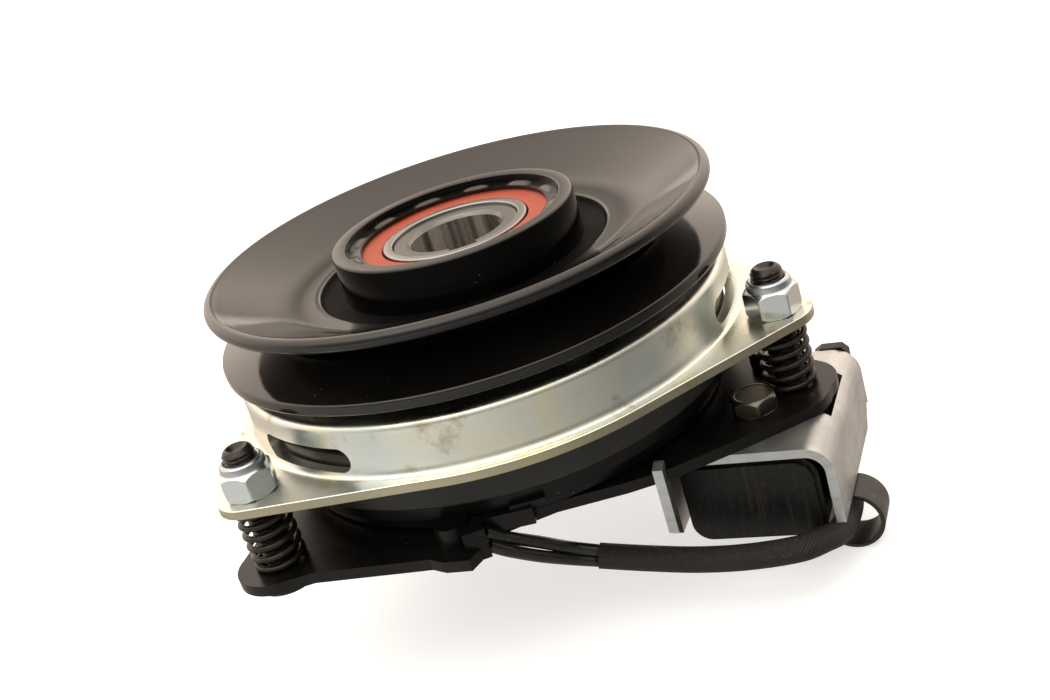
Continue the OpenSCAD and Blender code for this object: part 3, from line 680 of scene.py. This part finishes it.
def make_bearing():
    r0, r1, top = BEARING_ID / 2, 20.15, BEARING_Z + BEARING_W
    prof = fillet([(r0, BEARING_Z), (r1, BEARING_Z), (r1, top), (r0, top)],
                  [0.4, 0.4, 0.55, 0.5], 6)
    lathe("bearing_inner_race", prof, "ring", "rotor",
          ("bearing_inner_ring",), 200, 40)
    z = top - 0.35
    seal = [(25.82, z - 0.9), (25.82, z), (25.3, z + 0.05), (23.4, z - 0.05), (21.6, z + 0.1),
            (20.9, z), (20.5, z - 0.35), (20.5, z - 0.9)]
    lathe("bearing_seal_face", seal, "seal", "pulley",
          ("bearing_seal_upper",), 200, 40)


def make_hub():
    base = -math.pi / 2
    edge = math.asin(KEY_HALF_W / SHAFT_R)

    def from_key(t):
        return (t - base + math.pi) % (2 * math.pi) - math.pi

    # even steps round the bore, with a close pair at each side of the keyway
    th = [t for t in full(180, base + 0.0001)
          if abs(abs(from_key(t)) - edge) > math.radians(1.1)]
    for s in (-1, 1):
        th += [base + s * (edge - 1e-5), base + s * (edge + 1e-5)]
    th = sorted(t % (2 * math.pi) for t in th)

    def bore(grow):
        def r(t):
            d = from_key(t)
            if abs(d) < edge:
                return min(KEY_R / math.cos(d), 17.0)
            return SHAFT_R + grow
        return r

    zt, out = HUB_Z, BEARING_ID / 2
    rows = [(0.0, bore(0.0)), (0.0, out - 0.6), (0.6, out), (12, out), (12, FLANGE_R - 0.3),
            (12.3, FLANGE_R), (BEARING_Z, FLANGE_R), (BEARING_Z, out), (zt - 0.55, out),
            (zt - 0.25, 17.42), (zt - 0.06, 17.2), (zt, 16.95), (zt, 16.2), (zt, bore(1.0)),
            (zt - 0.25, bore(0.75)), (zt - 1.0, bore(0.0)), (40.0, bore(0.0)), (20.0, bore(0.0))]
    v, f = rings(rows, th)
    piece("rotor_hub_sleeve", v, f, ["hub", "bore"], "rotor", ("rotor_hub",), 40,
          pick=lambda n, c: 1 if c.xy.length < 13.2 and abs(n.z) < 0.5 else 0)


make_pulley()
make_housing()
make_bearing()
make_hub()


# ---- brake plate --------------------------------------------------------------------------
EARS = [210, 330, 90]
FIELD_Z = 3.0
PLATE_Z, PLATE_T, CUP_R, CUP_Z = 23.7, 2.5, 68.4, 38.0
PLATE_R, EAR_R, STUD_R, PCR = 71.6, 9.6, 4.2, 80.2
CUP_IN_R, CUP_LIP_R, CUP_T, SHOULDER_R = 66.0, 54.0, 2.4, 2.3
SLOT_Z, SLOT_HALF_H, SLOT_START, SLOT_END, SLOT_END_ANG = 28.5, 3.3, -8.0, 20.5, 2.75


def between(p, q, n):
    """Points between p and q, without its ends."""
    return [(p[0] * (1 - k / n) + q[0] * k / n, p[1] * (1 - k / n) + q[1] * k / n)
            for k in range(1, n)]


def plate_outline(r0, r1, d, n_ear=28, n_arc=80):
    """A disc of radius r0 with tangent straight sides running out to ears of radius r1 at d."""
    th = math.acos((r0 - r1) / d)
    out = []
    order = sorted(math.radians(a) for a in EARS)
    for i, a in enumerate(order):
        nxt = order[(i + 1) % 3] + (2 * math.pi if i == 2 else 0)
        cx, cy = d * math.cos(a), d * math.sin(a)
        for k in range(n_ear + 1):
            t = a - th + 2 * th * k / n_ear
            out.append((cx + r1 * math.cos(t), cy + r1 * math.sin(t)))
        out += between(out[-1], (r0 * math.cos(a + th), r0 * math.sin(a + th)), 8)
        for k in range(n_arc + 1):
            t = (a + th) + (nxt - th - a - th) * k / n_arc
            out.append((r0 * math.cos(t), r0 * math.sin(t)))
        out += between(out[-1], (d * math.cos(nxt) + r1 * math.cos(nxt - th),
                                 d * math.sin(nxt) + r1 * math.sin(nxt - th)), 8)
    return out


def brake_section(rho):
    """The plate's closed section (r, z), from an edge at rho through the cup to its inside."""
    zb = PLATE_Z - PLATE_T
    edge = [(rho - 0.15, zb), (rho, zb + 0.15), (rho, zb + 0.5), (rho, PLATE_Z - 0.4),
            (rho - 0.1, PLATE_Z - 0.14), (rho - 0.3, PLATE_Z), (rho - 0.7, PLATE_Z),
            (max(rho - 1.6, 70.75), PLATE_Z)]
    foot = [(70.6, PLATE_Z + 0.02), (69.9, PLATE_Z + 0.12), (69.3, PLATE_Z + 0.45),
            (68.85, PLATE_Z + 1.0), (68.55, PLATE_Z + 1.7), (CUP_R, PLATE_Z + 2.6)]
    wall = [(CUP_R, 27), (CUP_R, 30), (CUP_R, 33), (CUP_R, CUP_Z - 2.6)]
    shoulder = arc(CUP_R - SHOULDER_R, CUP_Z - SHOULDER_R, SHOULDER_R, 8, 90, 9)
    lip = [(63, CUP_Z), (58, CUP_Z), (CUP_LIP_R + 0.4, CUP_Z), (CUP_LIP_R, CUP_Z - 0.4),
           (CUP_LIP_R, CUP_Z - CUP_T), (60, CUP_Z - CUP_T), (65, CUP_Z - CUP_T)]
    inside = [(CUP_IN_R, CUP_Z - CUP_T - 1), (CUP_IN_R, 30), (CUP_IN_R, zb + 0.5),
              (CUP_IN_R + 0.3, zb)]
    return edge + foot + wall + shoulder + lip + inside


def slot_outline(ear):
    """Rounded inspection slot beside an ear, as (angle, z)."""
    a0 = math.radians(ear + SLOT_START + SLOT_END_ANG)
    a1 = math.radians(ear + SLOT_END - SLOT_END_ANG)
    steps, loop = 16, []
    for k in range(13):
        t = math.radians(90 + 180 * k / 12)
        loop.append((a0 + SLOT_HALF_H * math.cos(t) / CUP_R, SLOT_Z + SLOT_HALF_H * math.sin(t)))
    loop += [(a0 + (a1 - a0) * k / steps, SLOT_Z - SLOT_HALF_H) for k in range(1, steps)]
    for k in range(13):
        t = math.radians(-90 + 180 * k / 12)
        loop.append((a1 + SLOT_HALF_H * math.cos(t) / CUP_R, SLOT_Z + SLOT_HALF_H * math.sin(t)))
    loop += [(a1 - (a1 - a0) * k / steps, SLOT_Z + SLOT_HALF_H) for k in range(1, steps)]
    return loop


def brake_cutter():
    """Solids for the three inspection slots and the three stud holes."""
    cut = bmesh.new()
    for ear in EARS:
        loop = slot_outline(ear)
        inner, outer = ([cut.verts.new((r * math.cos(t) * MM, r * math.sin(t) * MM, z * MM))
                         for t, z in loop] for r in (62, 72))
        q = len(loop)
        for k in range(q):
            l = (k + 1) % q
            cut.faces.new((inner[k], inner[l], outer[l], outer[k]))
        cut.faces.new(inner[::-1])
        cut.faces.new(outer)
        x, y = polar_xy(PCR, ear)
        bmesh.ops.create_cone(cut, cap_ends=True, segments=40, radius1=(STUD_R + 0.4) * MM,
                              radius2=(STUD_R + 0.4) * MM, depth=8 * MM,
                              matrix=Matrix.Translation((x * MM, y * MM, 22 * MM)))
    bmesh.ops.triangulate(cut, faces=[f for f in cut.faces if len(f.verts) > 4])
    bmesh.ops.recalc_face_normals(cut, faces=cut.faces)
    me = bpy.data.meshes.new("slot_cutter")
    cut.to_mesh(me)
    cut.free()
    return me


def cut_away(o, cutter_mesh, sharp):
    """Take a cutter mesh away from an object and mark its hard edges again."""
    cutter = bpy.data.objects.new("cutter", cutter_mesh)
    scene.collection.objects.link(cutter)
    mod = o.modifiers.new("cut", "BOOLEAN")
    mod.object = cutter
    mod.operation = "DIFFERENCE"
    mod.solver = "EXACT"
    dg = bpy.context.evaluated_depsgraph_get()
    me = bpy.data.meshes.new_from_object(o.evaluated_get(dg))
    o.modifiers.clear()
    o.data = me
    bpy.data.objects.remove(cutter)
    bm = bmesh.new()
    bm.from_mesh(me)
    mark_sharp(bm, sharp)
    bm.to_mesh(me)
    bm.free()


def make_brake():
    sections = []
    for x, y in plate_outline(PLATE_R, EAR_R, PCR):
        rho = math.hypot(x, y)
        sections.append([(x / rho * r, y / rho * r, z) for r, z in brake_section(rho)])
    n, m = len(sections), len(sections[0])
    verts = [sections[i][j] for j in range(m) for i in range(n)]
    faces = []
    for j in range(m):
        a, b = j * n, ((j + 1) % m) * n
        for i in range(n):
            k = (i + 1) % n
            faces.append((a + i, a + k, b + k, b + i))

    def edge(nm, c):
        return 1 if abs(nm.z) < 0.75 and c.xy.length > 70.9 else 0

    o = piece("brake_plate_cup", verts, faces, ["brake", "edge"], "brake",
              ("brake_plate", "brake_cup"), 32, pick=edge)
    cut_away(o, brake_cutter(), 32)


make_brake()


# ---- nuts, studs, springs ---------------------------------------------------------------------
NUT_AF, BOLT_AF, THREAD_PITCH = 12.7, 11.1, 25.4 / 24


def hexr(af, turn):
    """Radius of a hexagon, af across flats, with a flat facing `turn` degrees."""
    def r(t):
        d = (math.degrees(t) - turn + 30) % 60 - 30
        return af / 2 / math.cos(math.radians(d))
    return r


def low_of(f, cap):
    return lambda t: min(f(t), cap)


def top_chamfer(flats, z, rise, corner, edge):
    """Rows of the turned chamfer over a hexagon, from the corners' radius down to `edge`."""
    return [(z + rise * (k / 8) ** 0.8, low_of(flats, corner + (edge - corner) * k / 8))
            for k in range(9)]


def make_nut(name, ear, twist, node, body):
    z0, h = PLATE_Z, hexr(NUT_AF, twist + 30)
    corner, base = NUT_AF / math.sqrt(3) - 0.12, NUT_AF / 2 - 0.15
    rows = [(z0, 4.26), (z0, 5.0), (z0, low_of(h, base))]
    for k in range(1, 7):
        q = k / 6
        rows.append((z0 + 0.85 * q ** 1.5, low_of(h, base + (corner - base) * q)))
    rows.append((z0 + 3.5, low_of(h, corner)))
    rows += top_chamfer(h, z0 + 6.0, 1.35, corner, NUT_AF / 2 - 0.45)
    # the locking collar above the hexagon
    rows += [(z0 + 7.42, 6.02), (z0 + 7.5, 5.86), (z0 + 8.5, 5.8), (z0 + 9.0, 5.62),
             (z0 + 9.35, 5.25), (z0 + 9.5, 4.8), (z0 + 9.35, 4.45), (z0 + 9.0, 4.26)]
    v, f = rings(rows, full(240, math.radians(twist)), centre=polar_xy(PCR, ear))
    piece(name, v, f, ["nut", "collar"], body, (node,), 20,
          pick=lambda n, p: 1 if p.z > z0 + 7.45 else 0)


def make_stud(name, ear, node):
    pitch, r0, depth = THREAD_PITCH, STUD_R, 0.55

    def thread(z):
        def r(t):
            s = (z / pitch - t / (2 * math.pi)) % 1.0
            return r0 - depth * max(0.0, min(1.0, (abs(2 * s - 1) * 1.25 - 0.12)))
        return r

    rows = [(-3.0, 5.9), (-2.6, 6.4), (-0.8, 6.4), (-0.8, 4.2), (2.8, 4.18), (3.4, 3.9)]
    z = 3.5
    while z < 35.35:
        rows.append((z, thread(z)))
        z += pitch / 8
    # chamfered end with a shallow dimple
    rows += [(35.7, 3.75), (36.1, 3.35), (36.35, 2.95), (36.4, 2.7), (36.2, 2.3), (35.75, 1.7),
             (35.55, 0.9), (35.5, 0.02)]
    v, f = capped(rows, full(48), polar_xy(PCR, ear))
    piece(name, v, f, "oiled", "field", (node,), 50)


def make_spring(name, ear, node):
    cx, cy = polar_xy(PCR, ear)
    turns, wire_r, coil_r = 6.5, 0.85, 6.1
    z0, z1 = FIELD_Z + wire_r + 0.02, PLATE_Z - PLATE_T - wire_r - 0.32
    # the end turns lie nearly flat, the rest climb evenly
    flat, lead, per_turn, path = 0.75, 0.3, 48, []
    for k in range(round(turns * per_turn) + 1):
        w = k / per_turn
        if w < flat:
            z = z0 + w * lead
        elif w > turns - flat:
            z = z1 - (turns - w) * lead
        else:
            climb = z1 - z0 - 2 * lead * flat
            z = z0 + flat * lead + climb * (w - flat) / (turns - 2 * flat)
        path.append((cx + coil_r * math.cos(math.tau * w), cy + coil_r * math.sin(math.tau * w), z))
    v, f, _ = tube(path, wire_r, 14)
    o = piece(name, v, f, "oiled", None, (node,), 50)
    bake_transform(o)


for key, ear, twist in (("left", 210, 270.5), ("right", 330, 285.7), ("rear", 90, 102)):
    make_nut("locknut_%s_body" % key, ear, twist, "locknut_" + key, "nut_" + key)
    make_stud("stud_%s_thread" % key, ear, "stud_" + key)
    make_spring("spring_%s_wire" % key, ear, "spring_" + key)


# ---- bracket bolts ------------------------------------------------------------------------------
def br(u, v):
    """The bracket's own frame: u runs outward through the right ear, v across it."""
    a = math.radians(-30)
    return (u * math.cos(a) - v * math.sin(a), u * math.sin(a) + v * math.cos(a))


def make_bolt(name, s, node, twist):
    z, h = FIELD_Z, hexr(BOLT_AF, twist + 30)
    corner = BOLT_AF / math.sqrt(3) - 0.15
    rows = [(-9.6, 2.7), (-9.2, 3.2), (z, 3.2), (z, 5.8), (z + 0.12, 5.95), (z + 0.45, 5.95),
            (z + 0.55, 5.7), (z + 0.55, low_of(h, corner - 0.4)), (z + 0.9, low_of(h, corner)),
            (z + 2.6, low_of(h, corner))]
    rows += top_chamfer(h, z + 3.5, 1.1, corner, BOLT_AF / 2 - 0.35)
    rows += [(z + 4.62, 4.6), (z + 4.5, 4.3), (z + 4.48, 2.0), (z + 4.48, 0.02)]
    v, f = capped(rows, full(240, math.radians(twist)), br(73, 13 * s))
    piece(name, v, f, "bolt", "field", (node,), 20)


make_bolt("bracket_bolt_front_head", -1, "bracket_bolt_front", 22)
make_bolt("bracket_bolt_rear_head", 1, "bracket_bolt_rear", 5)

# ---- CAD pieces with rounded edges ---------------------------------------------------------------
soften("bracket", 0.35, "bracket")
soften("bumper_block", 0.5, "block", 3)
soften("field_plate", 0.3, "field")
soften("field_shell", 0.3, "field")
soften("rotor", 0.3, "rotor")
soften("strain_relief", 1.0, "field", 4)
soften("cable_clip", 0.3, "clip", 2)
soften("bracket_nut_front", 0.3, "bracket")
soften("bracket_nut_rear", 0.3, "bracket")


# ---- floor and light -----------------------------------------------------------------------
def make_world():
    """Soft studio surroundings: bright overhead and behind, dim on the camera's side."""
    w = bpy.data.worlds.new("studio")
    scene.world = w
    w.use_nodes = True
    nt = w.node_tree
    tc = nt.nodes.new("ShaderNodeTexCoord")
    sep = nt.nodes.new("ShaderNodeSeparateXYZ")
    nt.links.new(tc.outputs["Generated"], sep.inputs[0])

    def remap(out, lo, hi, a, b):
        n = nt.nodes.new("ShaderNodeMapRange")
        for key, v in zip(("From Min", "From Max", "To Min", "To Max"), (lo, hi, a, b)):
            n.inputs[key].default_value = v
        nt.links.new(out, n.inputs["Value"])
        return n.outputs["Result"]

    def ramp(stops, green, blue):
        n = nt.nodes.new("ShaderNodeValToRGB")
        nt.links.new(remap(sep.outputs[2], -1, 1, 0, 1), n.inputs["Fac"])
        e = n.color_ramp.elements
        while len(e) < len(stops):
            e.new(0.5)
        for k, (z, v) in enumerate(stops):
            e[k].position = (z + 1) / 2
            e[k].color = (v, v * green, v * blue, 1)
        return n.outputs["Color"]

    def math_node(op, a, b):
        n = nt.nodes.new("ShaderNodeMath")
        n.operation = op
        for k, v in enumerate((a, b)):
            if hasattr(v, "is_output"):
                nt.links.new(v, n.inputs[k])
            else:
                n.inputs[k].default_value = v
        return n.outputs[0]

    def tint(color, factor):
        n = nt.nodes.new("ShaderNodeVectorMath")
        n.operation = "SCALE"
        nt.links.new(color, n.inputs[0])
        nt.links.new(factor, n.inputs["Scale"])
        return n.outputs["Vector"]

    # camera's side: low and dim, brighter to the left; far side: two bright panels, one each side
    front = ramp([(-1, 0.35), (-0.45, 0.55), (-0.15, 0.6), (0.05, 0.32), (0.3, 0.28), (0.6, 0.9),
                  (0.84, 2.3), (1, 2.5)], 0.96, 0.88)
    back = ramp([(-1, 0.35), (-0.35, 0.8), (0.0, 1.3), (0.2, 1.8), (0.45, 2.0), (0.84, 2.4),
                 (1, 2.5)], 0.85, 0.72)
    side = remap(sep.outputs[0], -0.8, 0.8, 1.75, 0.5)
    # a dim gap between the panels, from just above the horizon to half way up
    off = math_node("ABSOLUTE", math_node("SUBTRACT", sep.outputs[0], 0.07), 0)
    above = remap(sep.outputs[2], 0.45, 0.75, 0.0, 1.0)
    below = remap(sep.outputs[2], 0.22, 0.1, 0.0, 1.0)
    gap = math_node("MAXIMUM", remap(off, 0.02, 0.15, 0.4, 1.0), above)
    gap = math_node("MAXIMUM", gap, below)
    mix = nt.nodes.new("ShaderNodeMix")
    mix.data_type = "RGBA"
    nt.links.new(remap(sep.outputs[1], -0.35, 0.35, 0, 1), mix.inputs[0])
    nt.links.new(tint(front, side), mix.inputs[6])
    nt.links.new(tint(back, gap), mix.inputs[7])
    bg = nt.nodes["Background"]
    nt.links.new(mix.outputs[2], bg.inputs["Color"])
    bg.inputs["Strength"].default_value = 1.0


def make_stage():
    me = bpy.data.meshes.new("floor")
    half, z = 60.0, -0.0387
    me.from_pydata([(-half, -half, z), (half, -half, z), (half, half, z), (-half, half, z)], [],
                   [(0, 1, 2, 3)])
    mat = bpy.data.materials.new("floor_pale")
    mat.use_nodes = True
    b = mat.node_tree.nodes["Principled BSDF"]
    b.inputs["Base Color"].default_value = (0.5, 0.5, 0.5, 1)
    b.inputs["Emission Color"].default_value = (1, 0.99, 0.98, 1)
    b.inputs["Emission Strength"].default_value = 0.62
    b.inputs["Roughness"].default_value = 0.9
    b.inputs["Specular IOR Level"].default_value = 0.0
    me.materials.append(mat)
    floor = bpy.data.objects.new("floor", me)
    scene.collection.objects.link(floor)
    floor.visible_glossy = False

    # one broad, weak key light from the camera's left
    light = bpy.data.lights.new("key_soft", "SUN")
    light.energy = 0.5
    light.angle = math.radians(60)
    light.color = (1, 0.985, 0.96)
    key = bpy.data.objects.new("key_soft", light)
    scene.collection.objects.link(key)
    key.rotation_euler = Vector((-0.5, -0.6, 0.8)).to_track_quat("Z", "Y").to_euler()
    key.visible_glossy = False
    scene.view_settings.view_transform = "Standard"


make_world()
make_stage()
